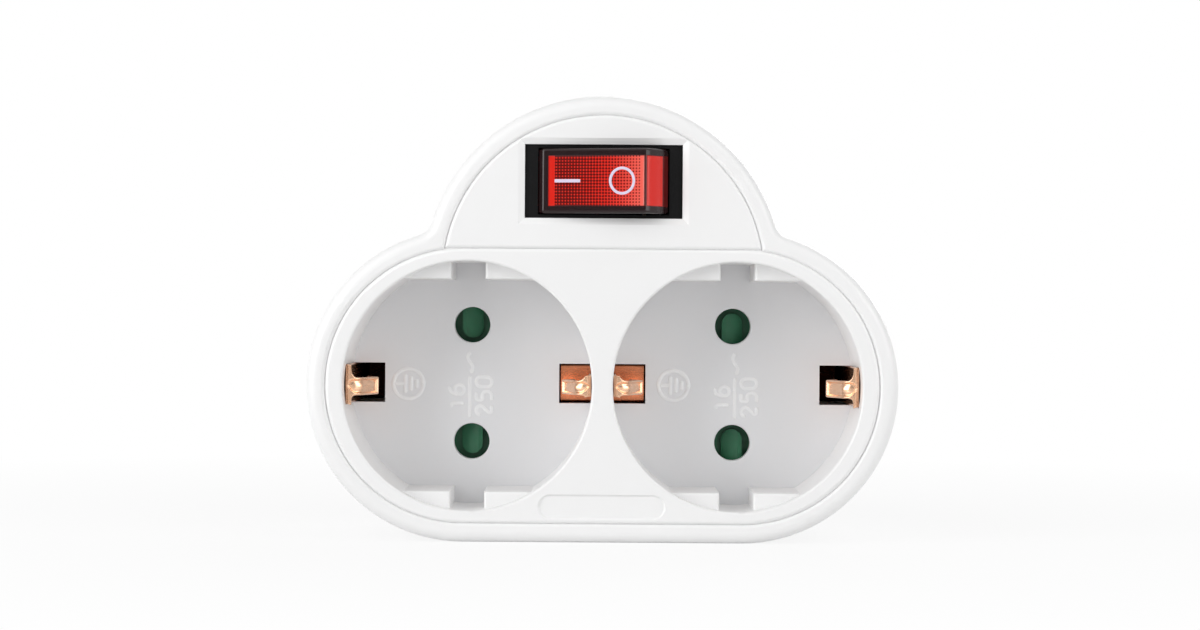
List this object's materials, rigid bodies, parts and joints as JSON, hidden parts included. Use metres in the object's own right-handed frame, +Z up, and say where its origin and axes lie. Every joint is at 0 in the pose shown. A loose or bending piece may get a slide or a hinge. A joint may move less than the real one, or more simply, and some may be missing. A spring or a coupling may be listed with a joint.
{
  "type": "multi socket adapter",
  "caption": "Plug-in earthed socket adapter: round socket wells side by side in a white cloud-shaped housing, with a lit red rocker switch above them.",
  "frame": {"origin": "middle of the plug face, between the two pins", "axes": "+Y along the pins into the wall, the sockets face -Y, +X to the right seen from the front, +Z up"},
  "size_m": [0.0932, 0.0801, 0.0702],
  "materials": {
    "white_plastic": "moulded, satin gloss",
    "screw_steel": "zinc plated",
    "switch_black": "fine texture",
    "rocker_red": "clear red, glossy, grid under the face",
    "plunger_nylon": "natural nylon",
    "spring_steel": "drawn wire",
    "contact_copper": "rolled strip",
    "terminal_brass": "stamped strip",
    "lamp_glass": "clear glass",
    "resistor_body": "lacquered",
    "shutter_green": "moulded, dark green",
    "clip_copper": "rolled copper alloy strip",
    "rivet_copper": "formed heads",
    "pin_nickel": "nickel plated, turned",
    "strap_nickel": "nickel plated strip",
    "wire_brown": "insulation",
    "wire_blue": "insulation"
  },
  "bodies": {
    "housing": {"earth_busbar": "clip_copper", "earth_clip_centre": "clip_copper", "earth_clip_left": "clip_copper", "earth_clip_right": "clip_copper", "earth_rivets": "rivet_copper", "housing_screws": "screw_steel", "lamp_resistor": "resistor_body", "lamp_wire": "wire_blue", "left_shutter_screw": "screw_steel", "left_shutter_spring": "spring_steel", "line_busbar": "terminal_brass", "line_wire_in": "wire_brown", "line_wire_out": "wire_brown", "neon_lamp": "lamp_glass", "neutral_busbar": "terminal_brass", "neutral_wire": "wire_blue", "plug_earth_strap": "strap_nickel", "plug_pin_left": "pin_nickel", "plug_pin_right": "pin_nickel", "rear_shell": "white_plastic", "right_shutter_screw": "screw_steel", "right_shutter_spring": "spring_steel", "socket_front": "white_plastic", "switch_housing": "switch_black", "switch_plate": "white_plastic", "terminal_line_in": "terminal_brass", "terminal_line_out": "terminal_brass", "terminal_neutral": "terminal_brass"},
    "rocker": {"switch_rocker": "rocker_red", "switch_plunger": "plunger_nylon", "plunger_spring": "spring_steel"},
    "lever": {"switch_lever": "contact_copper"},
    "shutter_left": {"left_shutter": "shutter_green"},
    "shutter_right": {"right_shutter": "shutter_green"}
  },
  "joints": [
    {"name": "rocker_tilt", "type": "hinge", "parent": "housing", "child": "rocker", "pos_m": [0, -0.0516, 0.0218], "axis": [0, 0, 1], "range_deg": [0, 22]},
    {"name": "lever_tilt", "type": "hinge", "parent": "housing", "child": "lever", "pos_m": [0, -0.04514, 0.0218], "axis": [0, 0, 1], "range_deg": [-14, 0]},
    {"name": "left_shutter_turn", "type": "hinge", "parent": "housing", "child": "shutter_left", "pos_m": [-0.02125, -0.0365, -0.0104], "axis": [0, -1, 0], "range_deg": [0, 40], "stiffness_Nm_per_rad": 0.008, "springref_deg": -20.05, "deforming": ["left_shutter_spring"]},
    {"name": "right_shutter_turn", "type": "hinge", "parent": "housing", "child": "shutter_right", "pos_m": [0.02125, -0.0365, -0.0104], "axis": [0, -1, 0], "range_deg": [0, 40], "stiffness_Nm_per_rad": 0.008, "springref_deg": -20.05, "deforming": ["right_shutter_spring"]}
  ],
  "couplings": [
    {"joint": "lever_tilt", "follows": "rocker_tilt", "ratio": -0.6363}
  ]
}
